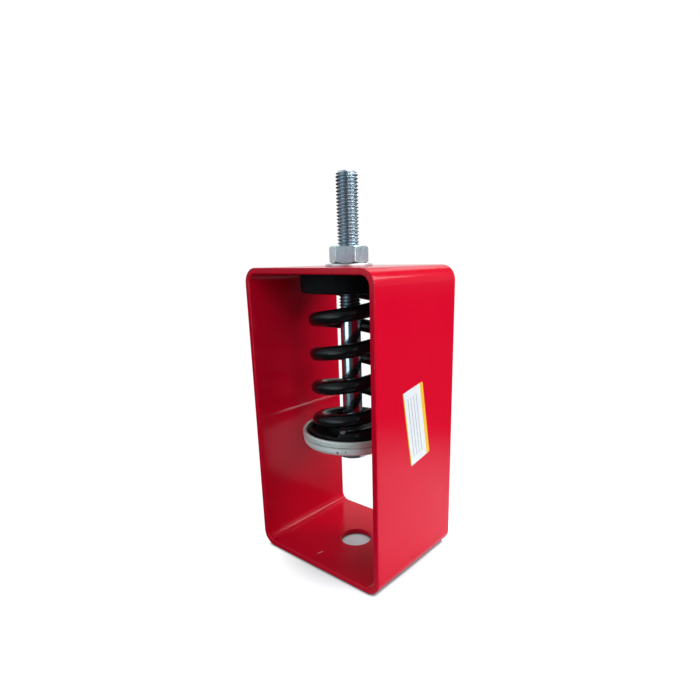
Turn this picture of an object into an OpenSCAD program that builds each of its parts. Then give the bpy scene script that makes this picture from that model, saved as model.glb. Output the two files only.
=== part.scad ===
// Spring vibration isolator of the hanging kind.
// A coil spring stands on a cup inside an open slice of rectangular steel tube. A hanger bolt carries the cup
// on its head and runs up through the spring and the top of the tube. The load hangs from the floor's hole.
// Millimetres, +Z up, X across the opening, Y along the tube. Origin: the floor's hole, on the underside.

/* [Frame] */
// Width of the tube, across the opening
frame_w = 92.5; // [84:0.5:140]
// Height of the tube
frame_h = 170; // [150:1:240]
// Length of the slice of tube, from front to back
frame_d = 70.8; // [60:0.1:120]
// Wall of the tube
frame_wall = 3.3; // [2.5:0.1:6]
// Outside radius of the tube's corners
frame_corner_r = 8.5; // [7:0.5:14]
// Diameter of the hole in the floor that takes the load's rod
load_hole_d = 19; // [12:0.5:30]
// Height of the tube's weld seam above the underside
weld_z = 83; // [40:1:120]
// Half width of the bead that the seam leaves on the inside
weld_r = 1.1; // [0.8:0.1:1.6]
// How far the bead stands out of the wall
weld_proud = 0.4; // [0.2:0.1:0.7]

/* [Hanger bolt and nut] */
// Thread diameter
bolt_d = 12; // [8:0.5:16]
// How far the plain shank lies under the outside of the thread
shank_cut = 0.3; // [0.1:0.05:0.5]
// Length under the head
bolt_len = 150; // [130:0.5:172]
// Length of the thread, from the free end
thread_len = 75.5; // [62:0.5:110]
// Depth of the thread
thread_depth = 1.1; // [0.6:0.1:1.4]
// Chamfer of the free end
tip_chamfer = 1.4; // [0.5:0.1:2.5]
// Width across the flats of the head and the nut
hex_af = 19; // [17:0.5:26]
// Height of the head
head_h = 7.5; // [5:0.5:12]
// Height of the nut
nut_h = 9.2; // [6:0.1:16]
// Slope of the corners' chamfers on the head and the nut, in degrees
hex_chamfer_angle = 30; // [20:1:40]

/* [Washers] */
// Outside diameter
washer_d = 26; // [22:0.5:36]
// Thickness
washer_t = 1.4; // [1:0.1:4]

/* [Spring] */
// Outside diameter of the coil
spring_od = 47.2; // [42:0.1:60]
// Diameter of the wire
spring_wire = 7.8; // [6:0.1:10]
// Length of the coil as fitted
spring_len = 88.3; // [70:0.1:110]
// Turns that work
spring_active_turns = 4.15; // [3:0.05:5.5]
// Gap between each end of the wire and the next turn
spring_tip_gap = 1.7; // [0.6:0.1:4]
// Direction of the lower end of the wire, in degrees from +X
spring_tip_angle = -70; // [-180:0.5:180]
// Depth to which the ends are ground flat
spring_ground = 2.4; // [1:0.1:3.5]

/* [Upper spring seat] */
// Rubber between the spring and the top of the tube
seat_base = 2.8; // [2:0.1:8]
// Height of the seat, with the skirt around the spring
seat_h = 10.2; // [9:0.1:20]
// Wall of the skirt
seat_skirt = 3; // [2:0.1:6]
// Wall of the collar that keeps the bolt off the edge of the tube's hole
collar_wall = 2.5; // [1.5:0.1:3.5]

/* [Lower spring pad] */
// Rubber under the spring
pad_base = 3.8; // [2:0.1:8]
// Width of the raised rim around the spring
pad_rim_w = 1.5; // [1.2:0.1:4]
// Height of the raised rim above the spring's seat
pad_rim_h = 3.2; // [1.5:0.1:5]
// Width of the pad's foot, from the rim to the cup
pad_foot_w = 2.1; // [1:0.1:5]
// Height of the hubs that centre the spring at both ends
hub_h = 4.7; // [3:0.1:7]

/* [Spring cup] */
// Wall of the cup
cup_wall = 1.9; // [1.5:0.1:4]
// Floor of the cup
cup_floor = 2.4; // [1.5:0.1:4]
// Height of the cup's rim above the spring's seat
cup_rim_h = 2.4; // [1.8:0.1:5]
// Height of the thicker band below the rim
cup_band_h = 3.3; // [2.5:0.1:5]
// How far the band stands out of the wall below it
cup_band_proud = 0.5; // [0.2:0.1:0.8]
// Radius of the cup's lower edge
cup_edge_r = 3.3; // [2:0.1:5]

/* [Label] */
// Width of the label
label_w = 18; // [12:1:30]
// Height of the label
label_h = 42.5; // [20:0.5:60]
// Thickness of the label
label_t = 0.2; // [0.1:0.05:0.5]
// Place of the label's middle along the tube, from the middle of the wall
label_y = -1.3; // [-8:0.1:8]
// Height of the label's middle above the underside
label_z = 88.3; // [60:0.1:110]
// Lean of the label, in degrees
label_lean = 10.5; // [-15:0.5:15]

/* [Clearances] */
// Around the bolt, in the washers, the cup, the pad and the seat
bolt_clearance = 0.5; // [0.4:0.1:1]
// Around the spring, in the seat's skirt and the pad's rim
spring_clearance = 0.3; // [0.2:0.1:1]
// Between the hubs and the inside of the spring
hub_clearance = 0.7; // [0.4:0.1:1.5]
// Around the pad in the cup, and around the collar in the tube's hole
rubber_clearance = 0.3; // [0.2:0.1:0.6]
// Between the threads of the nut and the bolt
thread_clearance = 0.05; // [0.02:0.01:0.1]
// Chamfer on the edges of the rubber parts and the washers
edge_break = 0.5; // [0.2:0.1:0.7]

/* [Hidden] */
$fn = 96;

// Heights, from the top of the tube down through the stack that hangs inside it
ceiling_z = frame_h - frame_wall;
spring_top_z = ceiling_z - seat_base;
spring_bottom_z = spring_top_z - spring_len;
cup_floor_z = spring_bottom_z - pad_base;
cup_bottom_z = cup_floor_z - cup_floor;
cup_rim_z = spring_bottom_z + cup_rim_h;
cup_band_z = cup_rim_z - cup_band_h;
head_top_z = cup_bottom_z - washer_t;
head_bottom_z = head_top_z - head_h;

// Heights above the tube
nut_bottom_z = frame_h + washer_t;
nut_top_z = nut_bottom_z + nut_h;
tip_z = head_top_z + bolt_len;
thread_z = tip_z - thread_len;

// Width of the space inside the tube, and half the flat stretch between its corner bends
inner_w = frame_w - 2 * frame_wall;
flat_x = frame_w / 2 - frame_corner_r;

// Radii
bolt_r = bolt_d / 2;
shank_r = bolt_r - shank_cut;
engaged_r = bolt_r - thread_depth / 2;
bolt_hole_r = bolt_r + bolt_clearance;
spring_outer_r = spring_od / 2;
wire_r = spring_wire / 2;
spring_mean_r = spring_outer_r - wire_r;
hub_r = spring_outer_r - spring_wire - hub_clearance;
spring_pocket_r = spring_outer_r + spring_clearance;
seat_r = spring_pocket_r + seat_skirt;
collar_r = bolt_hole_r + collar_wall;
top_hole_r = collar_r + rubber_clearance;
pad_rim_r = spring_pocket_r + pad_rim_w;
pad_r = pad_rim_r + pad_foot_w;
cup_inner_r = pad_r + rubber_clearance;
cup_outer_r = cup_inner_r + cup_wall;
hex_corner_r = hex_af / 2 / cos(30);

// Steps of the swept wire
turn_step = 1 / 36;
wire_sides = 16;
// Stretch, in turns, over which the flat end turns eases into the pitch
ease_turns = 0.2;
// Stretch, in turns, over which the grinding runs out
ground_turns = 0.4;
wire_low_z = spring_bottom_z + wire_r;
wire_high_z = spring_top_z - wire_r;
spring_pitch = (wire_high_z - wire_low_z) / spring_active_turns;
// Turns that lie flat at each end: one turn on, the wire has risen clear of its own ground tip
spring_end_turns = 1 - (spring_wire - spring_ground + spring_tip_gap) / spring_pitch;
spring_turns = spring_active_turns + 2 * spring_end_turns;

// Length by which cutting shapes run past the faces that they cut
past = 1;

red_paint = "#c80f2d";
black_paint = "#17181a";
rubber_black = "#222427";
zinc = "#b9c3cb";
cast_grey = "#b4b6b2";
paper_white = "#f0ede6";

// Rectangle with round corners, centred on x and standing on y = 0
module round_rect(w, h, r) {
    translate([-w / 2, r]) square([w, h - 2 * r]);
    translate([-w / 2 + r, 0]) square([w - 2 * r, h]);
    for (x = [-1, 1], y = [r, h - r]) translate([x * (w / 2 - r), y]) circle(r);
}

// A side wall of the tube with its two corner bends, seen end on. Side is -1 at the left, 1 at the right.
module side_outline(side) {
    difference() {
        round_rect(frame_w, frame_h, frame_corner_r);
        translate([0, frame_wall]) round_rect(inner_w, frame_h - 2 * frame_wall, frame_corner_r - frame_wall);
        translate([side > 0 ? -frame_w : -flat_x, -past]) square([frame_w + flat_x, frame_h + 2 * past]);
    }
}

// Flat stretch of the tube between its corner bends, with its lower face at height z and a round hole
module flat_wall(z, hole_r) {
    color(red_paint) difference() {
        translate([-flat_x, -frame_d / 2, z]) cube([2 * flat_x, frame_d, frame_wall]);
        translate([0, 0, z - past]) cylinder(h = frame_wall + 2 * past, r = hole_r);
    }
}

// The four walls of the tube meet face to face where the corner bends begin
module frame_floor() {
    flat_wall(0, load_hole_d / 2);
}

module frame_top() {
    flat_wall(ceiling_z, top_hole_r);
}

module frame_right() {
    color(red_paint) rotate([90, 0, 0]) linear_extrude(frame_d, center = true) side_outline(1);
}

// The left wall carries the bead of the tube's weld seam on its inside
module frame_left() {
    color(red_paint) rotate([90, 0, 0]) linear_extrude(frame_d, center = true) {
        side_outline(-1);
        translate([-inner_w / 2 - weld_r + weld_proud, weld_z]) circle(weld_r);
    }
}

// Hexagonal prism with its corners turned down to a cone, below, above or at both ends
module hex_body(h, lower, upper) {
    drop = (hex_corner_r - hex_af / 2) * tan(hex_chamfer_angle);
    foot_r = hex_af / 2;
    intersection() {
        cylinder(h = h, r = hex_corner_r, $fn = 6);
        rotate_extrude() polygon([
            [0, 0],
            [lower ? foot_r : hex_corner_r, 0],
            [hex_corner_r, lower ? drop : 0],
            [hex_corner_r, upper ? h - drop : h],
            [upper ? foot_r : hex_corner_r, h],
            [0, h],
        ]);
    }
}

// The thread's stretches are plain cylinders. Inside the nut the two threads meet halfway down their depth.
module hanger_bolt() {
    color(zinc) {
        translate([0, 0, head_bottom_z]) rotate(30) hex_body(head_h, true, false);
        rotate_extrude() polygon([
            [0, head_top_z - head_h / 2],
            [shank_r, head_top_z - head_h / 2],
            [shank_r, thread_z - shank_cut],
            [bolt_r, thread_z],
            [bolt_r, nut_bottom_z],
            [engaged_r, nut_bottom_z],
            [engaged_r, nut_top_z],
            [bolt_r, nut_top_z],
            [bolt_r, tip_z - tip_chamfer],
            [bolt_r - tip_chamfer, tip_z],
            [0, tip_z],
        ]);
    }
}

module top_nut() {
    color(zinc) difference() {
        translate([0, 0, nut_bottom_z]) rotate(30) hex_body(nut_h, true, true);
        translate([0, 0, nut_bottom_z - past])
            cylinder(h = nut_h + 2 * past, r = engaged_r + thread_clearance);
    }
}

// Plain washer around the bolt, with its lower face at height z
module washer(z) {
    color(zinc) translate([0, 0, z]) rotate_extrude() polygon([
        [bolt_hole_r, 0],
        [washer_d / 2, 0],
        [washer_d / 2, washer_t - edge_break],
        [washer_d / 2 - edge_break, washer_t],
        [bolt_hole_r, washer_t],
    ]);
}

module top_washer() {
    washer(frame_h);
}

module head_washer() {
    washer(head_top_z);
}

// Moulded rubber cap: a skirt and a hub hold the spring's top turn, and a collar lines the tube's hole
module upper_spring_seat() {
    skirt_z = ceiling_z - seat_h;
    hub_z = spring_top_z - hub_h;
    color(rubber_black) rotate_extrude() polygon([
        [bolt_hole_r, hub_z],
        [hub_r - edge_break, hub_z],
        [hub_r, hub_z + edge_break],
        [hub_r, spring_top_z],
        [spring_pocket_r, spring_top_z],
        [spring_pocket_r, skirt_z + edge_break],
        [spring_pocket_r + edge_break, skirt_z],
        [seat_r - edge_break, skirt_z],
        [seat_r, skirt_z + edge_break],
        [seat_r, ceiling_z],
        [collar_r, ceiling_z],
        [collar_r, frame_h - rubber_clearance],
        [bolt_hole_r, frame_h - rubber_clearance],
    ]);
}

// Rises from 0 at a slope of 1 per turn, with a soft start
function eased(t) = t < -ease_turns ? 0 : t > ease_turns ? t : pow(t + ease_turns, 2) / (4 * ease_turns);

// How far an end of the wire, t turns from its tip, is let down into the grinding plane
function let_down(t) = spring_ground * pow(max(0, 1 - t / ground_turns), 2);

// Height of the wire's middle after t turns
function wire_z(t) = wire_low_z - let_down(t) + let_down(spring_turns - t)
    + spring_pitch * (eased(t - spring_end_turns) - eased(t - spring_end_turns - spring_active_turns));

// Point on the wire's surface after t turns, at angle a around the wire, cut off at the two grinding planes
function wire_point(t, a) =
    let (
        r = spring_mean_r + wire_r * cos(a),
        turned = spring_tip_angle + 360 * t,
        z = wire_z(t) + wire_r * sin(a)
    )
    [r * cos(turned), r * sin(turned), min(max(z, spring_bottom_z), spring_top_z)];

// Right-hand coil of round wire with closed ends, ground flat
module coil_spring() {
    rings = round(spring_turns / turn_step);
    points = [
        for (i = [0:rings], j = [0:wire_sides - 1]) wire_point(i * spring_turns / rings, j * 360 / wire_sides)
    ];
    sides = [
        for (i = [0:rings - 1], j = [0:wire_sides - 1])
            let (
                next = (j + 1) % wire_sides,
                here = i * wire_sides,
                ahead = here + wire_sides
            )
            [here + j, here + next, ahead + next, ahead + j]
    ];
    first_end = [for (j = [wire_sides - 1:-1:0]) j];
    last_end = [for (j = [0:wire_sides - 1]) rings * wire_sides + j];
    color(black_paint) polyhedron(points, concat(sides, [first_end, last_end]));
}

// Moulded rubber pad in the cup: a flat seat between a hub inside the spring and a raised rim around it
module lower_spring_pad() {
    hub_z = spring_bottom_z + hub_h;
    rim_z = spring_bottom_z + pad_rim_h;
    color(rubber_black) rotate_extrude() polygon([
        [bolt_hole_r, cup_floor_z],
        [pad_r - edge_break, cup_floor_z],
        [pad_r, cup_floor_z + edge_break],
        [pad_r, spring_bottom_z - edge_break],
        [pad_r - edge_break, spring_bottom_z],
        [pad_rim_r, spring_bottom_z],
        [pad_rim_r, rim_z - edge_break],
        [pad_rim_r - edge_break, rim_z],
        [spring_pocket_r + edge_break, rim_z],
        [spring_pocket_r, rim_z - edge_break],
        [spring_pocket_r, spring_bottom_z],
        [hub_r, spring_bottom_z],
        [hub_r, hub_z - edge_break],
        [hub_r - edge_break, hub_z],
        [bolt_hole_r, hub_z],
    ]);
}

// Half section of a cup's outside: flat floor, round lower edge, straight wall
module cup_section(r, z, h, edge) {
    translate([0, z]) square([r - edge, h]);
    translate([0, z + edge]) square([r, h - edge]);
    translate([r - edge, z + edge]) circle(edge);
}

module spring_cup() {
    lip_r = cup_wall / 2;
    wall_top_z = cup_rim_z - lip_r;
    color(cast_grey) rotate_extrude() difference() {
        union() {
            cup_section(cup_outer_r - cup_band_proud, cup_bottom_z, wall_top_z - cup_bottom_z, cup_edge_r);
            translate([0, cup_band_z]) square([cup_outer_r, wall_top_z - cup_band_z]);
            translate([cup_inner_r + lip_r, wall_top_z]) circle(lip_r);
        }
        translate([0, cup_floor_z]) square([cup_inner_r, cup_rim_z - cup_floor_z + past]);
        translate([0, cup_bottom_z - past]) square([bolt_hole_r, cup_floor + 2 * past]);
    }
}

module label() {
    color(paper_white) translate([frame_w / 2, label_y, label_z]) rotate([label_lean, 0, 0])
        translate([0, -label_w / 2, -label_h / 2]) cube([label_t, label_w, label_h]);
}

frame_floor();
frame_left();
frame_right();
frame_top();
hanger_bolt();
top_nut();
top_washer();
upper_spring_seat();
coil_spring();
lower_spring_pad();
spring_cup();
head_washer();
label();
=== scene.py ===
"""Looks of the spring vibration isolator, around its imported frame."""
import math

import bmesh
import bpy
from mathutils import Matrix, Vector, noise


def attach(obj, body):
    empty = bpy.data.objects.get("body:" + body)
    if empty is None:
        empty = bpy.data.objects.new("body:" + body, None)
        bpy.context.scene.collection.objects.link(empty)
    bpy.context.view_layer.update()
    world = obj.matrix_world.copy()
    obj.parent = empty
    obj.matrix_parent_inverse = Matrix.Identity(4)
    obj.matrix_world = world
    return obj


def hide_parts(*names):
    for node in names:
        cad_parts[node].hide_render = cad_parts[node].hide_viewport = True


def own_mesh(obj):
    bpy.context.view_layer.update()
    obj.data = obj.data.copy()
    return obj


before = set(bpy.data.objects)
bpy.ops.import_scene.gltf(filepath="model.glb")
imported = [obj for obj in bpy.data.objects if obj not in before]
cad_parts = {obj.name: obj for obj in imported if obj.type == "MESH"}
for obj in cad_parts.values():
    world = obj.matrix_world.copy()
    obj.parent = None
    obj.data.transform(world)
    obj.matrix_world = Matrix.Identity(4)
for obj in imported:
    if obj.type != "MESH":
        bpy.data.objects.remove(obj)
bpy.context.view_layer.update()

# All sizes below are in millimetres, as in the part's source, and become metres where a mesh is made
MM = 0.001

# Clearances
BOLT_CLEARANCE = 0.5
SPRING_CLEARANCE = 0.3
HUB_CLEARANCE = 0.7
RUBBER_CLEARANCE = 0.3

# Tube
FRAME_W = 92.5
FRAME_H = 170.0
FRAME_D = 70.8
FRAME_WALL = 3.3
CORNER_R = 8.5
CUT_EDGE_R = 0.6
LOAD_HOLE_R = 9.5
HOLE_EDGE_R = 0.5
BEAD_Z = 83.0
BEAD_HALF_W = 0.9
BEAD_PROUD = 0.4
CEILING_Z = FRAME_H - FRAME_WALL

# Bolt, nut and washers
BOLT_R = 6.0
SHANK_R = 5.7
ROOT_R = 5.15
PITCH = 1.75
BOLT_LEN = 150.0
THREAD_LEN = 75.5
RUN_OUT_TURNS = 1.6
TIP_CHAMFER = 1.4
HEAD_H = 7.5
HEAD_NECK_R = 0.8
HEX_AF = 19.0
HEX_CHAMFER = math.tan(math.radians(30.0))
NUT_H = 9.2
NUT_CORNER_R = 0.7
NUT_COUNTERSINK = 0.7
WASHER_R = 13.0
WASHER_HOLE_R = BOLT_R + BOLT_CLEARANCE
WASHER_T = 1.4
NUT_BOTTOM_Z = FRAME_H + WASHER_T
NUT_TOP_Z = NUT_BOTTOM_Z + NUT_H

# Spring, with its turns from the tip of the wire
WIRE_R = 3.9
COIL_R = 19.7
SPRING_LEN = 88.3
ACTIVE_TURNS = 4.15
GROUND = 2.4
TIP_GAP = 1.7
TIP_ANGLE = -70.0
EASE_TURNS = 0.2
GROUND_TURNS = 0.4
SPRING_PITCH = (SPRING_LEN - 2 * WIRE_R) / ACTIVE_TURNS
END_TURNS = 1 - (2 * WIRE_R - GROUND + TIP_GAP) / SPRING_PITCH
TURNS = ACTIVE_TURNS + 2 * END_TURNS

# Rubber seat above the spring
SEAT_BASE = 2.8
SEAT_H = 10.2
SEAT_SKIRT = 3.0
COLLAR_WALL = 2.5
HUB_H = 4.7
HUB_R = COIL_R - WIRE_R - HUB_CLEARANCE
POCKET_R = COIL_R + WIRE_R + SPRING_CLEARANCE
SEAT_R = POCKET_R + SEAT_SKIRT
SPRING_HIGH_Z = CEILING_Z - SEAT_BASE
SPRING_LOW_Z = SPRING_HIGH_Z - SPRING_LEN
SEAT_SKIRT_Z = CEILING_Z - SEAT_H
SEAT_HUB_Z = SPRING_HIGH_Z - HUB_H
COLLAR_R = WASHER_HOLE_R + COLLAR_WALL
COLLAR_TOP_Z = FRAME_H - RUBBER_CLEARANCE
TOP_HOLE_R = COLLAR_R + RUBBER_CLEARANCE

# Rubber pad below the spring
PAD_BASE = 3.8
PAD_RIM_W = 1.5
PAD_RIM_H = 3.2
PAD_FOOT_W = 2.1
PAD_HUB_Z = SPRING_LOW_Z + HUB_H
PAD_RIM_R = POCKET_R + PAD_RIM_W
PAD_RIM_Z = SPRING_LOW_Z + PAD_RIM_H
PAD_R = PAD_RIM_R + PAD_FOOT_W

# Cup
CUP_WALL = 1.9
CUP_FLOOR = 2.4
CUP_RIM_H = 2.4
CUP_BAND_H = 3.3
CUP_BAND_PROUD = 0.5
CUP_EDGE_R = 3.3
CUP_FLOOR_Z = SPRING_LOW_Z - PAD_BASE
CUP_BOTTOM_Z = CUP_FLOOR_Z - CUP_FLOOR
CUP_RIM_Z = SPRING_LOW_Z + CUP_RIM_H
CUP_BAND_Z = CUP_RIM_Z - CUP_BAND_H
CUP_INNER_R = PAD_R + RUBBER_CLEARANCE
CUP_OUTER_R = CUP_INNER_R + CUP_WALL

# Heights of the bolt, which hangs in the cup
HEAD_TOP_Z = CUP_BOTTOM_Z - WASHER_T
HEAD_BOTTOM_Z = HEAD_TOP_Z - HEAD_H
TIP_Z = HEAD_TOP_Z + BOLT_LEN
THREAD_Z = TIP_Z - THREAD_LEN

# Label
LABEL_W = 18.0
LABEL_H = 42.5
LABEL_T = 0.2
LABEL_Y = -1.3
LABEL_Z = 88.3
LABEL_LEAN = 10.5
LABEL_CORNER_R = 0.8
LABEL_EDGE_INSET = 0.08


# Shader helpers

def add(tree, kind, settings=None, inputs=None):
    """Adds a node. A socket among the inputs is linked, and any other value is set."""
    made = tree.nodes.new(kind)
    for name, value in (settings or {}).items():
        setattr(made, name, value)
    for key, value in (inputs or {}).items():
        if isinstance(value, bpy.types.NodeSocket):
            tree.links.new(value, made.inputs[key])
        else:
            made.inputs[key].default_value = value
    return made


def new_material(name, values):
    """A principled material with constant values on its sockets, and its tree and place."""
    made = bpy.data.materials.new(name)
    made.use_nodes = True
    tree = made.node_tree
    shader = tree.nodes["Principled BSDF"]
    for key, value in values.items():
        shader.inputs[key].default_value = value
    place = add(tree, "ShaderNodeTexCoord").outputs["Object"]
    return made, tree, shader, place


def cloud(tree, place, scale, detail=3.0, rough=0.5):
    """Soft noise between 0 and 1. Scale is in cells to the metre."""
    inputs = {"Vector": place, "Scale": scale, "Detail": detail, "Roughness": rough}
    return add(tree, "ShaderNodeTexNoise", inputs=inputs).outputs["Fac"]


def spread(tree, value, low, high, to_low=0.0, to_high=1.0):
    """Maps value from low and high to the two new ends, and stops there."""
    inputs = {"Value": value, "From Min": low, "From Max": high, "To Min": to_low, "To Max": to_high}
    return add(tree, "ShaderNodeMapRange", inputs=inputs).outputs["Result"]


def calc(tree, operation, first, second):
    """One sum on two values."""
    return add(tree, "ShaderNodeMath", {"operation": operation}, {0: first, 1: second}).outputs[0]


def blend(tree, factor, first, second):
    """Mixes two colours."""
    made = add(tree, "ShaderNodeMix", {"data_type": "RGBA"}, {0: factor, 6: first, 7: second})
    return made.outputs[2]


def bump(tree, height, strength, distance, normal=None):
    """Normal from a height, on top of an earlier normal."""
    inputs = {"Height": height, "Strength": strength, "Distance": distance}
    if normal is not None:
        inputs["Normal"] = normal
    return add(tree, "ShaderNodeBump", inputs=inputs).outputs["Normal"]


def spot(tree, place, centre, half_sizes, turn=(0.0, 0.0, 0.0), soft=0.35):
    """1 inside an ellipsoid around a point, 0 outside, with a soft edge."""
    inputs = {
        "Vector": place,
        "Location": [v * MM for v in centre],
        "Rotation": [math.radians(v) for v in turn],
        "Scale": [v * MM for v in half_sizes],
    }
    local = add(tree, "ShaderNodeMapping", {"vector_type": "TEXTURE"}, inputs).outputs["Vector"]
    far = add(tree, "ShaderNodeVectorMath", {"operation": "LENGTH"}, {0: local}).outputs["Value"]
    return spread(tree, far, 1.0, 1.0 - soft)


def specks(tree, place, scale, size, share):
    """Small round specks, in a share of the cells of the given scale."""
    cells = add(tree, "ShaderNodeTexVoronoi", inputs={"Vector": place, "Scale": scale})
    dots = spread(tree, cells.outputs["Distance"], size, size * 0.5)
    parts = add(tree, "ShaderNodeSeparateColor", inputs={0: cells.outputs["Color"]})
    chosen = calc(tree, "LESS_THAN", parts.outputs[0], share)
    return calc(tree, "MULTIPLY", dots, chosen)


def colour(r, g, b):
    """Colour as the sockets take it."""
    return (r, g, b, 1.0)


# Materials

def red_paint():
    """Gloss paint on steel: orange peel, slow waves in the sheet, specks, one scratch and one chip."""
    made, tree, shader, place = new_material("red_paint", {"IOR": 1.45, "Specular IOR Level": 0.20})
    tone = blend(tree, spread(tree, cloud(tree, place, 15.0), 0.3, 0.7),
                 colour(0.59, 0.0016, 0.019), colour(0.62, 0.0021, 0.022))
    grit = specks(tree, place, 60.0, 0.016, 0.12)
    tone = blend(tree, calc(tree, "MULTIPLY", grit, 0.5), tone, colour(0.12, 0.002, 0.006))
    bare = specks(tree, place, 40.0, 0.010, 0.04)
    tone = blend(tree, calc(tree, "MULTIPLY", bare, 0.5), tone, colour(0.85, 0.35, 0.36))
    scratch = spot(tree, place, (-5.6, -26.5, 3.3), (2.4, 0.32, 0.5), (0.0, 0.0, 74.0))
    tone = blend(tree, scratch, tone, colour(0.90, 0.62, 0.60))
    chip = spot(tree, place, (-37.2, -33.3, 3.4), (1.0, 0.8, 0.8))
    tone = blend(tree, calc(tree, "MULTIPLY", chip, 0.8), tone, colour(0.06, 0.003, 0.006))
    tree.links.new(tone, shader.inputs["Base Color"])
    gloss = spread(tree, cloud(tree, place, 60.0, 3.0), 0.3, 0.7, 0.15, 0.19)
    tree.links.new(gloss, shader.inputs["Roughness"])
    waves = bump(tree, cloud(tree, place, 14.0, 1.0), 0.10, 0.0010)
    peel = bump(tree, cloud(tree, place, 700.0, 2.0), 0.03, 0.0003, waves)
    tree.links.new(peel, shader.inputs["Normal"])
    return made


def zinc(name, dark, light, rough_low, rough_high, grain, stained):
    """Zinc plating: cloudy, stained, finely grained, smoother on the shank, with painted shade in the
    thread's roots and on faces turned downward.
    """
    made, tree, shader, place = new_material(name, {"Metallic": 1.0})
    tone = blend(tree, spread(tree, cloud(tree, place, 520.0, 5.0, 0.6), 0.3, 0.7), dark, light)
    stain = specks(tree, place, 420.0, 0.16, 0.12)
    tone = blend(tree, calc(tree, "MULTIPLY", stain, stained), tone, colour(0.16, 0.18, 0.19))
    # Painted shade: the thread's roots, near the root radius, are darker
    axis = add(tree, "ShaderNodeVectorMath", {"operation": "MULTIPLY"}, {0: place, 1: (1.0, 1.0, 0.0)})
    off_axis = add(tree, "ShaderNodeVectorMath", {"operation": "LENGTH"}, {0: axis.outputs["Vector"]})
    painted_root_shade = spread(tree, off_axis.outputs["Value"], (ROOT_R + 0.45) * MM, ROOT_R * MM, 0.0, 0.35)
    tone = blend(tree, painted_root_shade, tone, colour(0.07, 0.08, 0.09))
    # Painted shade: faces turned downward are darker
    facing = add(tree, "ShaderNodeNewGeometry").outputs["Normal"]
    upward = add(tree, "ShaderNodeSeparateXYZ", inputs={0: facing}).outputs["Z"]
    tone = blend(tree, spread(tree, upward, -0.10, -0.45, 0.0, 0.8), tone, colour(0.09, 0.12, 0.14))
    tree.links.new(tone, shader.inputs["Base Color"])
    gloss = spread(tree, cloud(tree, place, 700.0, 4.0), 0.3, 0.7, rough_low, rough_high)
    height = add(tree, "ShaderNodeSeparateXYZ", inputs={0: place}).outputs["Z"]
    plain = spread(tree, height, (THREAD_Z - 2.0) * MM, (THREAD_Z + 2.0) * MM, 0.6, 1.0)
    tree.links.new(calc(tree, "MULTIPLY", gloss, plain), shader.inputs["Roughness"])
    fine = bump(tree, cloud(tree, place, 2600.0, 3.0), grain, 0.0001)
    tree.links.new(fine, shader.inputs["Normal"])
    return made


def black_paint():
    """Thick gloss black on the spring, with dust, and a grey patch at the lower tip that is worn paint and a
    painted highlight.
    """
    made, tree, shader, place = new_material("black_paint", {"IOR": 1.5, "Specular IOR Level": 0.28})
    tone = blend(tree, spread(tree, cloud(tree, place, 120.0), 0.3, 0.7),
                 colour(0.0042, 0.0046, 0.0050), colour(0.0075, 0.0080, 0.0086))
    dust = specks(tree, place, 260.0, 0.045, 0.10)
    tone = blend(tree, calc(tree, "MULTIPLY", dust, 0.35), tone, colour(0.22, 0.22, 0.21))
    # Grey patch at the lower tip: worn paint, and a painted highlight on the wire's end
    tip_wear_and_highlight = spot(tree, place, (8.8, -18.3, 80.3), (2.3, 2.3, 1.8))
    tone = blend(tree, tip_wear_and_highlight, tone, colour(0.26, 0.27, 0.27))
    tree.links.new(tone, shader.inputs["Base Color"])
    gloss = spread(tree, cloud(tree, place, 300.0, 4.0), 0.3, 0.7, 0.17, 0.28)
    tree.links.new(gloss, shader.inputs["Roughness"])
    runs = bump(tree, cloud(tree, place, 170.0, 2.0), 0.10, 0.0005)
    peel = bump(tree, cloud(tree, place, 900.0, 2.0), 0.06, 0.0002, runs)
    tree.links.new(peel, shader.inputs["Normal"])
    return made


def rubber(name, dark, light, rough_low, rough_high):
    """Moulded rubber: matt skin with a grey bloom."""
    made, tree, shader, place = new_material(name, {"IOR": 1.5, "Specular IOR Level": 0.10})
    tone = blend(tree, spread(tree, cloud(tree, place, 140.0, 4.0, 0.6), 0.35, 0.75), dark, light)
    dust = specks(tree, place, 500.0, 0.10, 0.12)
    tone = blend(tree, calc(tree, "MULTIPLY", dust, 0.3), tone, colour(0.10, 0.10, 0.10))
    tree.links.new(tone, shader.inputs["Base Color"])
    gloss = spread(tree, cloud(tree, place, 420.0, 3.0), 0.3, 0.7, rough_low, rough_high)
    tree.links.new(gloss, shader.inputs["Roughness"])
    skin = bump(tree, cloud(tree, place, 1500.0, 3.0), 0.12, 0.0002)
    tree.links.new(skin, shader.inputs["Normal"])
    return made


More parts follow.
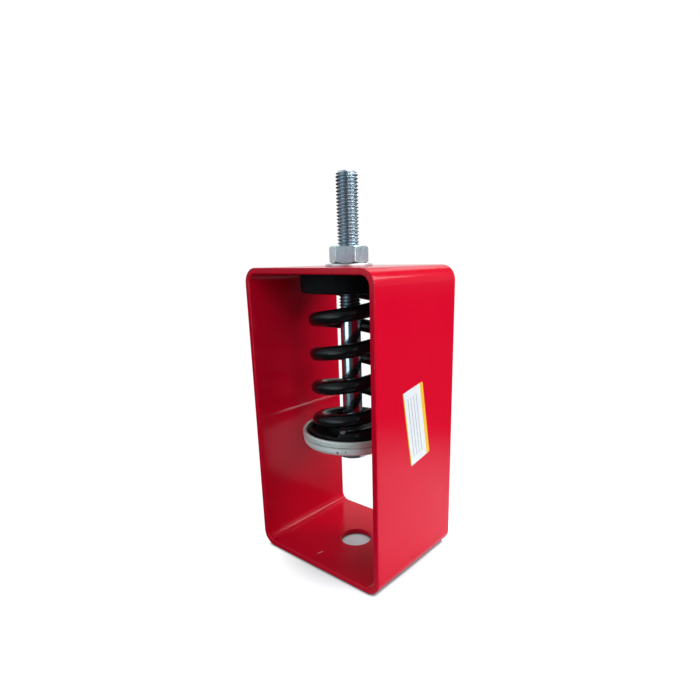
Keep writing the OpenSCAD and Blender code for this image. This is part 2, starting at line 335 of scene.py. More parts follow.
def cast_grey():
    """Cast cup: pale grey grain, with painted light making it paler below the step, stains, painted shade in
    the step and casting pits.
    """
    made, tree, shader, place = new_material("cast_grey", {"Metallic": 0.5})
    tone = blend(tree, spread(tree, cloud(tree, place, 420.0, 5.0, 0.65), 0.3, 0.7),
                 colour(0.68, 0.72, 0.68), colour(0.80, 0.83, 0.79))
    stain = spread(tree, cloud(tree, place, 90.0, 3.0), 0.52, 0.72, 0.0, 0.35)
    tone = blend(tree, stain, tone, colour(0.40, 0.42, 0.40))
    height = add(tree, "ShaderNodeSeparateXYZ", inputs={0: place}).outputs["Z"]
    # Painted light: the wall is paler below the step
    below = spread(tree, height, (CUP_BAND_Z - 0.3) * MM, (CUP_BAND_Z - 1.2) * MM, 0.0, 0.8)
    tone = blend(tree, below, tone, colour(0.93, 0.95, 0.92))
    # Painted shade: a dark line under the band's step, broken up in patches
    off_step = calc(tree, "ABSOLUTE", calc(tree, "SUBTRACT", height, (CUP_BAND_Z - 0.25) * MM), 0.0)
    in_step = spread(tree, off_step, 0.0006, 0.0002)
    patches = spread(tree, cloud(tree, place, 60.0), 0.3, 0.6)
    painted_step_shade = calc(tree, "MULTIPLY", in_step, patches)
    tone = blend(tree, calc(tree, "MULTIPLY", painted_step_shade, 0.7), tone, colour(0.10, 0.11, 0.10))
    pits = calc(tree, "MAXIMUM",
                spot(tree, place, (11.8, -26.7, 71.6), (0.7, 0.7, 0.8)),
                spot(tree, place, (15.9, -24.6, 72.4), (0.5, 0.5, 0.55)))
    pits = calc(tree, "MAXIMUM", pits, specks(tree, place, 150.0, 0.055, 0.10))
    tone = blend(tree, calc(tree, "MULTIPLY", pits, 0.85), tone, colour(0.05, 0.06, 0.06))
    tree.links.new(tone, shader.inputs["Base Color"])
    gloss = spread(tree, cloud(tree, place, 800.0, 3.0), 0.3, 0.7, 0.40, 0.54)
    tree.links.new(gloss, shader.inputs["Roughness"])
    grain = bump(tree, cloud(tree, place, 1500.0, 4.0, 0.6), 0.25, 0.0002)
    hollow = bump(tree, calc(tree, "SUBTRACT", 1.0, pits), 0.6, 0.0004, grain)
    tree.links.new(hollow, shader.inputs["Normal"])
    return made


def label_film():
    """Blank printed film: a yellow heading band, a thin yellow edge and ruled grey lines to write on."""
    made, tree, shader, place = new_material("label_film", {"IOR": 1.45})
    sheet = add(tree, "ShaderNodeUVMap", {"uv_map": "sheet"}).outputs["UV"]
    sides = add(tree, "ShaderNodeSeparateXYZ", inputs={0: sheet}).outputs
    across = sides["X"]
    along = sides["Y"]
    tone = blend(tree, spread(tree, cloud(tree, place, 300.0), 0.3, 0.7),
                 colour(0.68, 0.71, 0.74), colour(0.75, 0.78, 0.80))
    lines = None
    for middle in (0.20, 0.34, 0.48, 0.62):
        off = calc(tree, "ABSOLUTE", calc(tree, "SUBTRACT", across, middle), 0.0)
        line = spread(tree, off, 0.016, 0.010)
        lines = line if lines is None else calc(tree, "MAXIMUM", lines, line)
    off_middle = calc(tree, "ABSOLUTE", calc(tree, "SUBTRACT", along, 0.5), 0.0)
    inside = calc(tree, "LESS_THAN", off_middle, 0.40)
    lines = calc(tree, "MULTIPLY", lines, inside)
    tone = blend(tree, calc(tree, "MULTIPLY", lines, 0.8), tone, colour(0.22, 0.22, 0.22))
    band = calc(tree, "MAXIMUM",
                calc(tree, "GREATER_THAN", across, 0.845),
                calc(tree, "LESS_THAN", across, 0.035))
    tone = blend(tree, band, tone, colour(0.80, 0.50, 0.03))
    tree.links.new(tone, shader.inputs["Base Color"])
    gloss = spread(tree, cloud(tree, place, 500.0), 0.3, 0.7, 0.32, 0.45)
    tree.links.new(gloss, shader.inputs["Roughness"])
    crease = bump(tree, cloud(tree, place, 120.0, 2.0), 0.15, 0.0003)
    tree.links.new(crease, shader.inputs["Normal"])
    return made


# Mesh helpers

def fillet(corners, steps=4):
    """Closed outline from corners (x, y, radius), each rounded with an arc."""
    outline = []
    count = len(corners)
    for i, (x, y, radius) in enumerate(corners):
        here = Vector((x, y))
        if radius <= 0:
            outline.append((x, y))
            continue
        before = Vector(corners[i - 1][:2]) - here
        after = Vector(corners[(i + 1) % count][:2]) - here
        half = before.angle(after) / 2
        cut = min(radius / math.tan(half), 0.48 * before.length, 0.48 * after.length)
        radius = cut * math.tan(half)
        before.normalize()
        after.normalize()
        centre = here + (before + after).normalized() * (radius / math.sin(half))
        start = here + before * cut - centre
        sweep = start.angle_signed(here + after * cut - centre)
        for k in range(steps + 1):
            turn = -sweep * k / steps
            spun = Vector((
                start.x * math.cos(turn) - start.y * math.sin(turn),
                start.x * math.sin(turn) + start.y * math.cos(turn),
            ))
            outline.append(tuple(centre + spun))
    return outline


def between(start, end, share):
    """Point at a share of the way from start to end."""
    return tuple(a + (b - a) * share for a, b in zip(start, end))


def closed_grid(rows, columns):
    """Quads of a surface that closes both ways, with its points row by row."""
    faces = []
    for i in range(rows):
        here = i * columns
        ahead = (i + 1) % rows * columns
        for j in range(columns):
            beside = (j + 1) % columns
            faces.append((here + j, ahead + j, ahead + beside, here + beside))
    return faces


def revolve(profile, steps=144):
    """Ring from a closed half section of (radius, height) points, counter-clockwise."""
    points = []
    for i in range(steps):
        angle = 2 * math.pi * i / steps
        points += [(r * math.cos(angle), r * math.sin(angle), z) for r, z in profile]
    return points, closed_grid(steps, len(profile))


def make_object(name, points, faces):
    """Mesh object from points in millimetres."""
    mesh = bpy.data.meshes.new(name)
    mesh.from_pydata([[v * MM for v in p] for p in points], [], faces)
    made = bpy.data.objects.new(name, mesh)
    bpy.context.scene.collection.objects.link(made)
    return made


def cut(piece, cutters):
    """Cuts the cutters out of the piece and removes them."""
    for cutter in cutters:
        step = piece.modifiers.new("cut", "BOOLEAN")
        step.operation = "DIFFERENCE"
        step.solver = "EXACT"
        step.object = cutter
    seen = piece.evaluated_get(bpy.context.evaluated_depsgraph_get())
    mesh = bpy.data.meshes.new_from_object(seen)
    piece.modifiers.clear()
    piece.data = mesh
    for cutter in cutters:
        bpy.data.objects.remove(cutter)


def finish_piece(piece, body, nodes, material, sharp=36.0):
    """Shades the piece, gives it its material and its body, and hides the imported nodes that it stands for.
    """
    mesh = piece.data
    mesh.materials.clear()
    mesh.materials.append(material)
    for face in mesh.polygons:
        face.use_smooth = True
    mesh.set_sharp_from_angle(angle=math.radians(sharp))
    normals = piece.modifiers.new("normals", "WEIGHTED_NORMAL")
    normals.keep_sharp = True
    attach(piece, body)
    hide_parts(*nodes)
    return piece


# Tube

def frame_stations():
    """Stops around the tube: the bend's centre, the direction outwards, and the height of the weld's bead."""
    flat_x = FRAME_W / 2 - CORNER_R
    low_z = CORNER_R
    high_z = FRAME_H - CORNER_R
    stops = []

    def straight(start, end, way, count):
        """Stops along a flat side."""
        for k in range(count):
            stops.append((*between(start, end, k / count), *way, 0.0))

    def bend(centre, first, count=14):
        """Stops around a corner."""
        for k in range(count):
            angle = math.radians(first + 90.0 * k / count)
            stops.append((*centre, math.cos(angle), math.sin(angle), 0.0))

    straight((-flat_x, low_z), (flat_x, low_z), (0.0, -1.0), 8)
    bend((flat_x, low_z), -90.0)
    straight((flat_x, low_z), (flat_x, high_z), (1.0, 0.0), 16)
    bend((flat_x, high_z), 0.0)
    straight((flat_x, high_z), (-flat_x, high_z), (0.0, 1.0), 8)
    bend((-flat_x, high_z), 90.0)
    bead = [(-1.0, 0.0), (-0.60, 0.83), (-0.30, 0.30), (-0.10, 0.30), (0.22, 0.97), (0.75, 0.0), (1.0, 0.0)]
    beside_bead = BEAD_HALF_W + 2
    straight((-flat_x, high_z), (-flat_x, BEAD_Z + beside_bead), (-1.0, 0.0), 8)
    for place, share in bead:
        stops.append((-flat_x, BEAD_Z - place * BEAD_HALF_W, -1.0, 0.0, share * BEAD_PROUD))
    straight((-flat_x, BEAD_Z - beside_bead), (-flat_x, low_z), (-1.0, 0.0), 8)
    bend((-flat_x, low_z), 180.0)
    return stops


def frame_section():
    """Section of the wall: distance from the bend's centre, place along the tube, and 1 on the inner face."""
    inner = CORNER_R - FRAME_WALL
    half = FRAME_D / 2
    corners = [(CORNER_R, -half, CUT_EDGE_R), (CORNER_R, half, CUT_EDGE_R),
               (inner, half, CUT_EDGE_R), (inner, -half, CUT_EDGE_R)]
    arcs = fillet(corners)
    side = len(arcs) // 4
    section = []
    divisions = 30
    for c in range(4):
        arc = arcs[c * side:(c + 1) * side]
        section += [(r, y, 0) for r, y in arc]
        if c in (0, 2):
            start = arc[-1]
            end = arcs[((c + 1) * side) % len(arcs)]
            for k in range(1, divisions):
                share = k / divisions
                section.append((start[0], start[1] + (end[1] - start[1]) * share, 1 if c == 2 else 0))
    return section


def make_frame():
    """Slice of tube with round cut edges, the weld's bead and the two holes."""
    section = frame_section()
    points = []
    stops = frame_stations()
    for x, z, way_x, way_z, proud in stops:
        for r, y, inside in section:
            # The bead's height wanders along the weld
            wave = 0.85 + 0.3 * noise.noise((y * 0.35, z * 0.6, 3.0))
            far = r - proud * wave * inside
            points.append((x + way_x * far, y, z + way_z * far))
    piece = make_object("frame_tube", points, closed_grid(len(stops), len(section)))

    def cutter(name, radius, low):
        """Plug whose ends flare, so that it leaves round edges at the two faces of the wall."""
        high = low + FRAME_WALL
        past = 1.0
        near_axis = 0.01
        steps = 6
        sweep = 70.0
        profile = [(near_axis, low - past), (radius + past, low - past)]
        for first, middle_z in ((-110.0, low + HOLE_EDGE_R), (180.0, high - HOLE_EDGE_R)):
            for k in range(steps + 1):
                angle = math.radians(first - sweep * k / steps)
                r = radius + HOLE_EDGE_R * (1 + math.cos(angle))
                profile.append((r, middle_z + HOLE_EDGE_R * math.sin(angle)))
        profile += [(radius + past, high + past), (near_axis, high + past)]
        return make_object(name, *revolve(profile, 96))

    cut(piece, [cutter("load_hole", LOAD_HOLE_R, 0.0), cutter("top_hole", TOP_HOLE_R, CEILING_Z)])
    return piece


# Bolt and nut

def hex_radius(angle):
    """Distance from the axis to the side of the hexagon, which has a corner at 30 degrees."""
    past_flat = (math.degrees(angle) + 30.0) % 60.0 - 30.0
    return HEX_AF / 2 / math.cos(math.radians(past_flat))


# One turn of the thread: share of the pitch, and height between root and crest
THREAD = [(0.00, 0.0), (0.08, 0.04), (0.16, 0.16), (0.24, 0.36), (0.32, 0.60), (0.40, 0.83), (0.46, 0.96),
          (0.50, 1.0), (0.54, 0.96), (0.60, 0.83), (0.68, 0.60), (0.76, 0.36), (0.84, 0.16), (0.92, 0.04)]


def thread_radius(share, z):
    """Radius of the rod at a height, where share is the thread's height between root and crest."""
    radius = ROOT_R + (BOLT_R - ROOT_R) * share
    run_in = min(max((z - THREAD_Z) / (RUN_OUT_TURNS * PITCH), 0.0), 1.0)
    radius = SHANK_R + (radius - SHANK_R) * run_in * run_in * (3 - 2 * run_in)
    return min(radius, BOLT_R - max(0.0, z - (TIP_Z - TIP_CHAMFER)))


def make_bolt():
    """Rod with a rolled thread, a plain shank and a hexagonal head, as one closed skin."""
    columns = 60
    rows_per_turn = len(THREAD)
    turns_below = 1.2
    spare_turns = 4
    low_cut = THREAD_Z - 0.6
    start_z = low_cut - turns_below * PITCH
    turns = math.ceil((TIP_Z - low_cut) / PITCH) + spare_turns
    points = []
    for k in range(turns * rows_per_turn):
        phase, share = THREAD[k % rows_per_turn]
        for i in range(columns):
            z = start_z + PITCH * (k // rows_per_turn + phase + i / columns)
            r = thread_radius(share, z)
            angle = 2 * math.pi * i / columns
            points.append((r * math.cos(angle), r * math.sin(angle), z))
    faces = []
    for k in range(turns * rows_per_turn - rows_per_turn - 1):
        for i in range(columns):
            here = k * columns + i
            beside = here + 1
            if i == columns - 1:
                beside = (k + rows_per_turn) * columns
            faces.append((here, beside, beside + columns, here + columns))
    piece = make_object("hanger_bolt_threaded", points, faces)
    skin = bmesh.new()
    skin.from_mesh(piece.data)
    for height, outer, inner in ((TIP_Z, True, False), (low_cut, False, True)):
        every = skin.verts[:] + skin.edges[:] + skin.faces[:]
        bmesh.ops.bisect_plane(skin, geom=every, dist=1e-7, plane_co=(0, 0, height * MM), plane_no=(0, 0, 1),
                               clear_outer=outer, clear_inner=inner)
    bmesh.ops.delete(skin, geom=[v for v in skin.verts if not v.link_faces], context="VERTS")
    middle = (TIP_Z + low_cut) / 2 * MM
    rims = [e for e in skin.edges if e.is_boundary]
    top = [e for e in rims if e.verts[0].co.z > middle]
    loop = [e for e in rims if e.verts[0].co.z <= middle]
    bmesh.ops.contextual_create(skin, geom=top)

    def lower(edges, place):
        """Draws the open rim down to a new ring. Place gives radius and height at an angle."""
        grown = bmesh.ops.extrude_edge_only(skin, edges=edges)["geom"]
        for vert in [g for g in grown if isinstance(g, bmesh.types.BMVert)]:
            angle = math.atan2(vert.co.y, vert.co.x)
            r, z = place(angle)
            vert.co = Vector((r * math.cos(angle), r * math.sin(angle), z)) * MM
        return [g for g in grown if isinstance(g, bmesh.types.BMEdge)]

    def circle(r, z):
        """Ring of one radius and height."""
        return lambda angle: (r, z)

    def hexagon(inset, z):
        """Ring along the head's sides, drawn in by an inset."""
        return lambda angle: (hex_radius(angle) - inset, z)

    def chamfer(angle):
        """Ring where the lower face's chamfer meets the head's sides."""
        past_flat = hex_radius(angle) - flat_r + chamfer_inset
        return hex_radius(angle), HEAD_BOTTOM_Z + past_flat * HEX_CHAMFER

    flat_r = HEX_AF / 2
    chamfer_inset = 0.3
    face_inset = 0.5
    soft = 0.2
    soft_drop = 0.05
    neck_steps = 4
    loop = lower(loop, circle(SHANK_R, (low_cut + HEAD_TOP_Z) / 2))
    for k in range(neck_steps + 1):
        bend = math.radians(90.0 * k / neck_steps)
        r = SHANK_R + HEAD_NECK_R * (1 - math.cos(bend))
        loop = lower(loop, circle(r, HEAD_TOP_Z + HEAD_NECK_R * (1 - math.sin(bend))))
    loop = lower(loop, circle(flat_r - 2 * soft, HEAD_TOP_Z))
    loop = lower(loop, hexagon(soft, HEAD_TOP_Z - soft_drop))
    loop = lower(loop, hexagon(0.0, HEAD_TOP_Z - soft_drop - soft))
    loop = lower(loop, chamfer)
    loop = lower(loop, circle(flat_r - face_inset, HEAD_BOTTOM_Z))
    loop = lower(loop, circle(flat_r / 2, HEAD_BOTTOM_Z))
    bmesh.ops.contextual_create(skin, geom=loop)
    bmesh.ops.recalc_face_normals(skin, faces=skin.faces[:])
    skin.to_mesh(piece.data)
    skin.free()
    return piece


def make_nut():
    """Hexagonal nut with turned corners, soft edges and a countersunk hole."""
    corners = []
    for k in range(6):
        angle = math.radians(30.0 + 60.0 * k)
        reach = HEX_AF / 2 / math.cos(math.radians(30.0))
        corners.append((reach * math.cos(angle), reach * math.sin(angle), NUT_CORNER_R))
    arcs = fillet(corners, 5)
    outline = []
    divisions = 8
    side = len(arcs) // 6
    for k in range(6):
        outline += arcs[k * side:(k + 1) * side]
        start = arcs[(k + 1) * side - 1]
        end = arcs[((k + 1) * side) % len(arcs)]
        for j in range(1, divisions):
            outline.append(between(start, end, j / divisions))
    foot = HEX_AF / 2 - 0.25
    hole = BOLT_R + 0.05
    sink = NUT_COUNTERSINK
    soft = 0.12
    soft_rise = 0.07
    points = []
    for x, y in outline:
        angle = math.atan2(y, x)
        reach = math.hypot(x, y)
        drop = (reach - foot) * HEX_CHAMFER
        column = [
            (hole, NUT_BOTTOM_Z + sink), (hole + sink, NUT_BOTTOM_Z), (foot, NUT_BOTTOM_Z),
            (reach - soft, NUT_BOTTOM_Z + drop - soft_rise), (reach, NUT_BOTTOM_Z + drop + soft),
            (reach, NUT_TOP_Z - drop - soft), (reach - soft, NUT_TOP_Z - drop + soft_rise),
            (foot, NUT_TOP_Z), (hole + sink, NUT_TOP_Z), (hole, NUT_TOP_Z - sink),
        ]
        points += [(r * math.cos(angle), r * math.sin(angle), z) for r, z in column]
    return make_object("nut_plated", points, closed_grid(len(outline), len(column)))


def make_washer(name, low):
    """Punched washer: rolled upper edge, sharper lower edge."""
    high = low + WASHER_T
    profile = fillet([(WASHER_HOLE_R, low, 0.12), (WASHER_R, low, 0.15), (WASHER_R, high, 0.45),
                      (WASHER_HOLE_R, high, 0.3)])
    return make_object(name, *revolve(profile))


# Spring

def eased(t):
    """Turns spent rising: none before 0 and all after it, with a soft change between."""
    if t < -EASE_TURNS:
        return 0.0
    if t > EASE_TURNS:
        return t
    return (t + EASE_TURNS) ** 2 / (4 * EASE_TURNS)


def let_down(t):
    """How far the wire sinks past the ground face, t turns from its end."""
    return GROUND * max(0.0, 1 - t / GROUND_TURNS) ** 2


def wire_z(t):
    """Height of the wire's middle after t turns."""
    rise = eased(t - END_TURNS) - eased(t - END_TURNS - ACTIVE_TURNS)
    return SPRING_LOW_Z + WIRE_R - let_down(t) + let_down(TURNS - t) + SPRING_PITCH * rise


def make_spring():
    """Round wire wound into a coil, its ends laid flat and ground to the two seats."""
    sides = 40
    steps_per_turn = 110
    steps = round(TURNS * steps_per_turn)
    points = []
    for i in range(steps + 1):
        t = TURNS * i / steps
        turned = math.radians(TIP_ANGLE + 360.0 * t)
        for j in range(sides):
            angle = 2 * math.pi * j / sides
            r = COIL_R + WIRE_R * math.cos(angle)
            z = wire_z(t) + WIRE_R * math.sin(angle)
            z = min(max(z, SPRING_LOW_Z), SPRING_HIGH_Z)
            points.append((r * math.cos(turned), r * math.sin(turned), z))
    faces = []
    for i in range(steps):
        for j in range(sides):
            beside = (j + 1) % sides
            here = i * sides
            ahead = here + sides
            faces.append((here + j, here + beside, ahead + beside, ahead + j))
    faces.append(tuple(range(sides - 1, -1, -1)))
    faces.append(tuple(steps * sides + j for j in range(sides)))
    piece = make_object("coil_spring_wire", points, faces)
    skin = bmesh.new()
    skin.from_mesh(piece.data)
    bmesh.ops.recalc_face_normals(skin, faces=skin.faces[:])
    skin.to_mesh(piece.data)
    skin.free()
    return piece


# Rubber, cup and label

def make_seat():
    """Rubber cap over the spring's top turn, with the collar that lines the tube's hole."""
    profile = fillet([
        (WASHER_HOLE_R, SEAT_HUB_Z, 0.4), (HUB_R, SEAT_HUB_Z, 0.8), (HUB_R, SPRING_HIGH_Z, 0.0),
        (POCKET_R, SPRING_HIGH_Z, 0.0), (POCKET_R, SEAT_SKIRT_Z, 0.6), (SEAT_R, SEAT_SKIRT_Z, 0.7),
        (SEAT_R, CEILING_Z, 0.3), (COLLAR_R, CEILING_Z, 0.0), (COLLAR_R, COLLAR_TOP_Z, 0.3),
        (WASHER_HOLE_R, COLLAR_TOP_Z, 0.2),
    ])
    return make_object("upper_seat_rubber", *revolve(profile))


def make_pad():
    """Rubber pad: hub, flat seat and a raised rim around the spring."""
    profile = fillet([
        (WASHER_HOLE_R, CUP_FLOOR_Z, 0.2), (PAD_R, CUP_FLOOR_Z, 0.5), (PAD_R, SPRING_LOW_Z, 0.6),
        (PAD_RIM_R, SPRING_LOW_Z, 0.0), (PAD_RIM_R, PAD_RIM_Z, 0.65), (POCKET_R, PAD_RIM_Z, 0.65),
        (POCKET_R, SPRING_LOW_Z, 0.0), (HUB_R, SPRING_LOW_Z, 0.0), (HUB_R, PAD_HUB_Z, 0.8),
        (WASHER_HOLE_R, PAD_HUB_Z, 0.4),
    ])
    return make_object("lower_pad_rubber", *revolve(profile))


def make_cup():
    """Cast cup with a round rim, a thicker band below it and a round lower edge."""
    wall_r = CUP_OUTER_R - CUP_BAND_PROUD
    profile = fillet([
        (WASHER_HOLE_R, CUP_BOTTOM_Z, 0.2), (wall_r, CUP_BOTTOM_Z, CUP_EDGE_R), (wall_r, CUP_BAND_Z, 0.15),
        (CUP_OUTER_R, CUP_BAND_Z, 0.3), (CUP_OUTER_R, CUP_RIM_Z, 0.9), (CUP_INNER_R, CUP_RIM_Z, 0.9),
        (CUP_INNER_R, CUP_FLOOR_Z, 0.0), (WASHER_HOLE_R, CUP_FLOOR_Z, 0.2),
    ], 6)
    return make_object("spring_cup_cast", *revolve(profile, 180))


def make_label():
    """Film on the right wall, with round corners and a place on it for each point."""
    half_w = LABEL_W / 2
    half_h = LABEL_H / 2
    outline = fillet([(-half_w, -half_h, LABEL_CORNER_R), (half_w, -half_h, LABEL_CORNER_R),
                      (half_w, half_h, LABEL_CORNER_R), (-half_w, half_h, LABEL_CORNER_R)])
    count = len(outline)
    lean = math.radians(LABEL_LEAN)
    points = []
    for depth, inset in ((0.0, 0.0), (LABEL_T * 0.6, 0.0), (LABEL_T, LABEL_EDGE_INSET)):
        for u, v in outline:
            y = u * (1 - inset / half_w)
            z = v * (1 - inset / half_h)
            points.append((
                FRAME_W / 2 + depth,
                LABEL_Y + y * math.cos(lean) - z * math.sin(lean),
                LABEL_Z + y * math.sin(lean) + z * math.cos(lean),
            ))
    faces = [tuple(range(count - 1, -1, -1)), tuple(2 * count + i for i in range(count))]
    for ring in range(2):
        for i in range(count):
            beside = (i + 1) % count
            low = ring * count
            high = low + count
            faces.append((low + i, low + beside, high + beside, high + i))
    piece = make_object("label_blank", points, faces)
    sheet = piece.data.uv_layers.new(name="sheet")
    for loop in piece.data.loops:
        u, v = outline[loop.vertex_index % count]
        sheet.data[loop.index].uv = (u / LABEL_W + 0.5, v / LABEL_H + 0.5)
    return piece


# The part

zinc_washer = zinc("zinc_washer", colour(0.68, 0.69, 0.69), colour(0.78, 0.79, 0.79),
                   rough_low=0.34, rough_high=0.44, grain=0.04, stained=0.12)
zinc_bolt = zinc("zinc_bolt", colour(0.58, 0.72, 0.80), colour(0.64, 0.78, 0.86),
                 rough_low=0.28, rough_high=0.34, grain=0.02, stained=0.06)
zinc_nut = zinc("zinc_nut", colour(0.45, 0.54, 0.58), colour(0.61, 0.71, 0.75),
                rough_low=0.30, rough_high=0.42, grain=0.35, stained=0.40)
rubber_seat = rubber("rubber_seat", colour(0.0020, 0.0028, 0.0031), colour(0.0042, 0.0055, 0.0060),
                     rough_low=0.60, rough_high=0.75)
rubber_pad = rubber("rubber_pad", colour(0.009, 0.009, 0.009), colour(0.020, 0.020, 0.019),
                    rough_low=0.46, rough_high=0.60)
walls = ["frame_floor", "frame_left", "frame_right", "frame_top"]

finish_piece(make_frame(), "frame", walls, red_paint(), sharp=28.0)
finish_piece(make_bolt(), "bolt", ["hanger_bolt"], zinc_bolt, sharp=50.0)
finish_piece(make_nut(), "bolt", ["top_nut"], zinc_nut, sharp=22.0)
top_washer = make_washer("top_washer_plated", FRAME_H)
finish_piece(top_washer, "frame", ["top_washer"], zinc_washer)
head_washer = make_washer("head_washer_plated", HEAD_TOP_Z)
finish_piece(head_washer, "spring_carrier", ["head_washer"], zinc_washer)
finish_piece(make_seat(), "frame", ["upper_spring_seat"], rubber_seat)
finish_piece(make_pad(), "spring_carrier", ["lower_spring_pad"], rubber_pad)
finish_piece(make_cup(), "spring_carrier", ["spring_cup"], cast_grey())
finish_piece(make_label(), "frame", ["label"], label_film())
spring = finish_piece(make_spring(), "frame", ["coil_spring"], black_paint(), sharp=42.0)
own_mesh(spring)


# Stage

# Middle of the painted pool of light on the floor, and the point that the lamps face
POOL_MIDDLE = (125.0, 45.0, 0.0)
LAMP_AIM = (0.0, 0.0, 90.0)


def stage_material():
    """Paper: a painted pool of light beside the part, painted shade where the two meet, and white to the
    camera further out.
    """
    made = bpy.data.materials.new("paper")
    made.use_nodes = True
    tree = made.node_tree
    tree.nodes.clear()
    place = add(tree, "ShaderNodeTexCoord").outputs["Object"]
    far = add(tree, "ShaderNodeVectorMath", {"operation": "LENGTH"}, {0: place}).outputs["Value"]
    pool_middle = Vector(POOL_MIDDLE) * MM
    off_pool = add(tree, "ShaderNodeVectorMath", {"operation": "DISTANCE"}, {0: place, 1: pool_middle})
    # Painted pool of light: pale paper in a patch beside the part, dark paper elsewhere
    pool = spread(tree, off_pool.outputs["Value"], 0.175, 0.06)
    # Painted contact shadow: darker paper where the part stands close over it
    shade = add(tree, "ShaderNodeAmbientOcclusion", {"samples": 8}, {"Distance": 0.0025}).outputs["AO"]
    uncovered = spread(tree, shade, 0.3, 0.8, 0.1, 1.0)
    lit = blend(tree, pool, colour(0.05, 0.05, 0.05), colour(0.72, 0.78, 0.90))
    lit = blend(tree, uncovered, colour(0.03, 0.02, 0.02), lit)
    rays = add(tree, "ShaderNodeLightPath")
    bent = calc(tree, "MAXIMUM", rays.outputs["Is Glossy Ray"], rays.outputs["Is Transmission Ray"])
    height = add(tree, "ShaderNodeSeparateXYZ", inputs={0: place}).outputs["Z"]
    white_out = spread(tree, pool, 0.0, 1.0, 1.0, 0.55)
    clear = calc(tree, "MULTIPLY", white_out, spread(tree, far, 0.02, 0.05, 0.28, 1.0))
    clear = calc(tree, "MULTIPLY", clear, uncovered)
    to_camera = calc(tree, "MULTIPLY", rays.outputs["Is Camera Ray"], clear)
    off_floor = spread(tree, height, 0.02, 0.20)
    below_top = spread(tree, height, 1.20, 0.98, 0.1, 0.95)
    band = calc(tree, "MULTIPLY", off_floor, below_top)
    pale = calc(tree, "MAXIMUM", band, spread(tree, pool, 0.0, 1.0, 0.0, 0.2))
    to_mirror = calc(tree, "MULTIPLY", bent, pale)
    paper = add(tree, "ShaderNodeBsdfDiffuse", inputs={"Color": lit})
    strength = calc(tree, "ADD", to_camera, to_mirror)
    white = add(tree, "ShaderNodeEmission", inputs={"Color": colour(1, 1, 1), "Strength": strength})
    both = add(tree, "ShaderNodeAddShader", inputs={0: paper.outputs[0], 1: white.outputs[0]})
    add(tree, "ShaderNodeOutputMaterial", inputs={"Surface": both.outputs[0]})
    return made


def make_stage():
    """Floor that curves up into a backdrop behind the part, as seen from the camera."""
    behind = Vector((-0.6413, 0.7673, 0.0))
    beside = Vector((0.7673, 0.6413, 0.0))
    bend_start = 1300.0
    bend_r = 500.0
    bend_steps = 16
    back_height = 3000.0
    under_part = 0.3
    line = [(-3000.0, 0.0), (-1200.0, 0.0), (-300.0, 0.0), (400.0, 0.0), (bend_start, 0.0)]
    for k in range(1, bend_steps + 1):
        angle = math.radians(90.0 * k / bend_steps)
        line.append((bend_start + bend_r * math.sin(angle), bend_r * (1 - math.cos(angle))))
    line.append((bend_start + bend_r, back_height))
    across = (-3500.0, -1200.0, -400.0, 400.0, 1200.0, 3500.0)
    points = []
    for far, high in line:
        for side in across:
            spot_on = behind * far + beside * side
            points.append((spot_on.x, spot_on.y, high - under_part))
    width = len(across)
    faces = []
    for i in range(len(line) - 1):
        here = i * width
        ahead = here + width
        for j in range(width - 1):
            faces.append((here + j, here + j + 1, ahead + j + 1, ahead + j))
    sweep = make_object("paper_sweep", points, faces)
    sweep.data.materials.append(stage_material())
    for face in sweep.data.polygons:
        face.use_smooth = True


def area_light(name, place, width, height, power, tint=(1.0, 1.0, 1.0)):
    """Soft box at a place in millimetres, turned to the part's middle."""
    lamp = bpy.data.lights.new(name, "AREA")
    lamp.shape = "RECTANGLE"
    lamp.size = width * MM
    lamp.size_y = height * MM
    lamp.energy = power
    lamp.color = tint
    holder = bpy.data.objects.new(name, lamp)
    holder.location = Vector(place) * MM
    holder.rotation_euler = (Vector(LAMP_AIM) - Vector(place)).to_track_quat("-Z", "Y").to_euler()
    holder.visible_camera = False
    bpy.context.scene.collection.objects.link(holder)


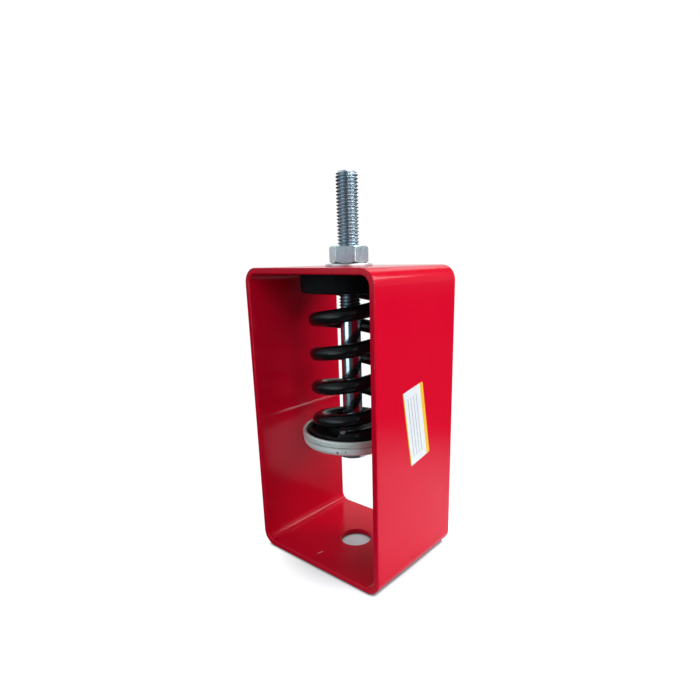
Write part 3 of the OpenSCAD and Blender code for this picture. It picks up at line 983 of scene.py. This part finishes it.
def make_world():
    """Studio surround, brighter to the right behind the part and to its front left."""
    world = bpy.data.worlds.new("studio")
    bpy.context.scene.world = world
    world.use_nodes = True
    tree = world.node_tree
    tree.nodes.clear()
    way = add(tree, "ShaderNodeTexCoord").outputs["Generated"]
    height = add(tree, "ShaderNodeSeparateXYZ", inputs={0: way}).outputs["Z"]
    tone = blend(tree, spread(tree, height, 0.0, 0.7), colour(0.085, 0.10, 0.11), colour(0.11, 0.12, 0.13))
    bright_side = Vector((0.67, 0.74, 0.0))
    toward = add(tree, "ShaderNodeVectorMath", {"operation": "DOT_PRODUCT"}, {0: way, 1: bright_side})
    tone = blend(tree, spread(tree, toward.outputs["Value"], 0.55, 0.92), tone, colour(0.38, 0.43, 0.47))
    front_side = Vector((-0.75, -0.66, 0.0))
    ahead = add(tree, "ShaderNodeVectorMath", {"operation": "DOT_PRODUCT"}, {0: way, 1: front_side})
    tone = blend(tree, spread(tree, ahead.outputs["Value"], 0.0, 0.6), tone, colour(0.34, 0.42, 0.47))
    sky = add(tree, "ShaderNodeBackground", inputs={"Color": tone, "Strength": 1.0})
    add(tree, "ShaderNodeOutputWorld", inputs={"Surface": sky.outputs[0]})


def make_camera():
    """Camera at the photograph's viewing angle, with its lens worked out for an image of 700 by 700."""
    image = 700.0
    focal = 502.777
    centre_x = 367.745
    centre_y = 394.098
    right = Vector((0.770187, 0.637585, -0.017244))
    down = Vector((0.154790, -0.213075, -0.964696))
    forward = Vector((-0.618750, 0.740327, -0.262799))
    place = Vector((189.200, -212.344, 174.487)) * MM
    lens = bpy.data.cameras.new("camera")
    lens.sensor_width = 36.0
    lens.lens = focal / image * lens.sensor_width
    lens.shift_x = (image / 2 - centre_x) / image
    lens.shift_y = (centre_y - image / 2) / image
    lens.clip_start = 0.01
    lens.clip_end = 50.0
    holder = bpy.data.objects.new("camera", lens)
    columns = Matrix((right, -down, -forward)).transposed().to_4x4()
    columns.translation = place
    holder.matrix_world = columns
    bpy.context.scene.collection.objects.link(holder)
    bpy.context.scene.camera = holder


make_stage()
make_world()
make_camera()
area_light("window", (873.0, -464.0, 572.0), 420.0, 420.0, 2.4)
area_light("side", (957.0, 169.0, 606.0), 300.0, 300.0, 4.7)
area_light("side_back", (895.0, 496.0, 546.0), 300.0, 300.0, 2.8)
area_light("window_low", (1030.0, -315.0, 190.0), 850.0, 300.0, 2.1)
area_light("back_right", (513.0, 732.0, 814.0), 240.0, 420.0, 2.6)
area_light("back", (-203.0, 816.0, 874.0), 340.0, 500.0, 0.9)
area_light("above_back", (-70.0, 390.0, 1170.0), 400.0, 300.0, 4.4)
area_light("front_low", (-40.0, -480.0, 90.0), 300.0, 170.0, 0.38, (0.78, 0.92, 1.0))
area_light("front_left", (-500.0, -1100.0, 420.0), 900.0, 700.0, 2.2, (0.90, 0.96, 1.0))
area_light("left_fill", (-760.0, 130.0, 900.0), 900.0, 900.0, 2.4, (0.95, 0.98, 1.0))
bpy.context.scene.view_settings.view_transform = "Standard"
